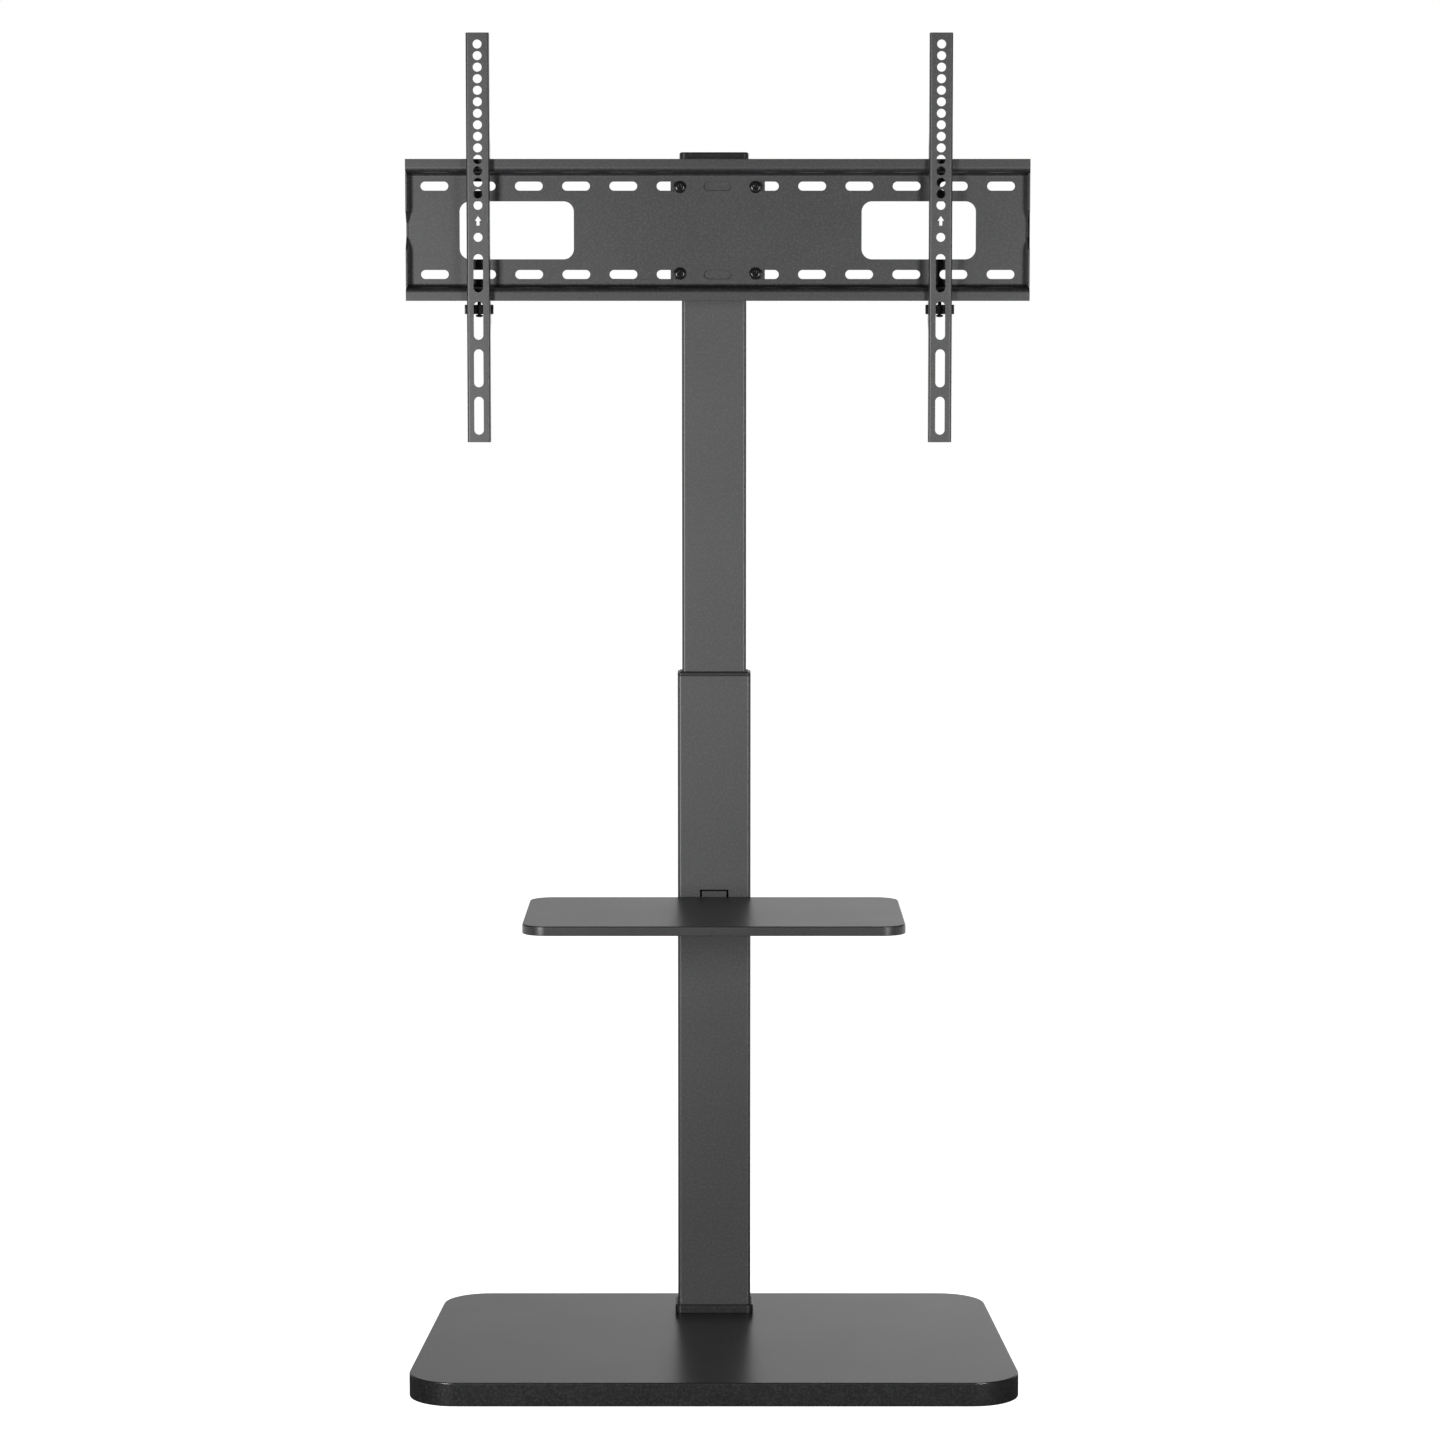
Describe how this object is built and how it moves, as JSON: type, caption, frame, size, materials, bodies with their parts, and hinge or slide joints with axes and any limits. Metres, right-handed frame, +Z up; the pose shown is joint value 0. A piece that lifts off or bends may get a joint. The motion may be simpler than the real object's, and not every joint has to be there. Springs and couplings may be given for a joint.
{
  "type": "television floor stand",
  "caption": "Free-standing television floor stand with a wide base, telescopic column, shelf and swivelling head with a slotted plate and sliding hook-on arms.",
  "frame": {"origin": "centre of the base's footprint on the floor, at the underside of the middle floor pad", "axes": "+Z up, +X to the right seen from the front, +Y to the back; the television hangs on the -Y side"},
  "size_m": [0.66, 0.405, 1.4205],
  "materials": {
    "steel_black": "fine-textured satin black powder coat",
    "board_black": "fine-textured satin black laminate",
    "plastic_black": "black moulded plastic",
    "screw_black": "black oxide steel",
    "washer_nylon": "natural nylon",
    "pad_rubber": "soft black rubber"
  },
  "bodies": {
    "stand": {"base_board": "board_black", "floor_pads": "pad_rubber", "clamp_plate": "steel_black", "base_bolts": "screw_black", "foot_plate": "steel_black", "column_collar": "plastic_black", "outer_tube": "steel_black", "guide_bushing": "plastic_black", "lock_nuts": "screw_black", "lock_screws": "screw_black", "shelf_tray": "steel_black", "shelf_bracket": "steel_black", "shelf_screws": "screw_black"},
    "mast": {"inner_tube": "steel_black", "lower_slider": "plastic_black", "top_cap": "plastic_black", "column_bracket": "steel_black", "bracket_screws": "screw_black", "bracket_nuts": "screw_black", "pivot_bolts": "screw_black", "pivot_nuts": "screw_black", "friction_washers": "washer_nylon"},
    "head": {"swivel_plate": "steel_black", "mount_plate": "steel_black", "plate_screws": "screw_black", "plate_washers": "screw_black", "plate_nuts": "screw_black"},
    "left_carrier": {"left_arm": "steel_black", "left_lock_bar": "screw_black"},
    "left_lock": {"left_lock_screw": "screw_black"},
    "right_carrier": {"right_arm": "steel_black", "right_lock_bar": "screw_black"},
    "right_lock": {"right_lock_screw": "screw_black"}
  },
  "joints": [
    {"name": "height_slide", "type": "slide", "parent": "stand", "child": "mast", "axis": [0, 0, 1], "range_m": [-0.3, 0]},
    {"name": "head_swivel", "type": "hinge", "parent": "mast", "child": "head", "pos_m": [0, 0.064, 1.215], "axis": [0, 0, 1], "range_deg": [-35, 35]},
    {"name": "left_arm_slide", "type": "slide", "parent": "head", "child": "left_carrier", "axis": [1, 0, 0], "range_m": [-0.05, 0.15]},
    {"name": "right_arm_slide", "type": "slide", "parent": "head", "child": "right_carrier", "axis": [1, 0, 0], "range_m": [-0.13, 0.07]},
    {"name": "left_lock_slide", "type": "slide", "parent": "left_carrier", "child": "left_lock", "axis": [0, 0, 1], "range_m": [-0.008, 0]},
    {"name": "right_lock_slide", "type": "slide", "parent": "right_carrier", "child": "right_lock", "axis": [0, 0, 1], "range_m": [-0.008, 0]}
  ]
}
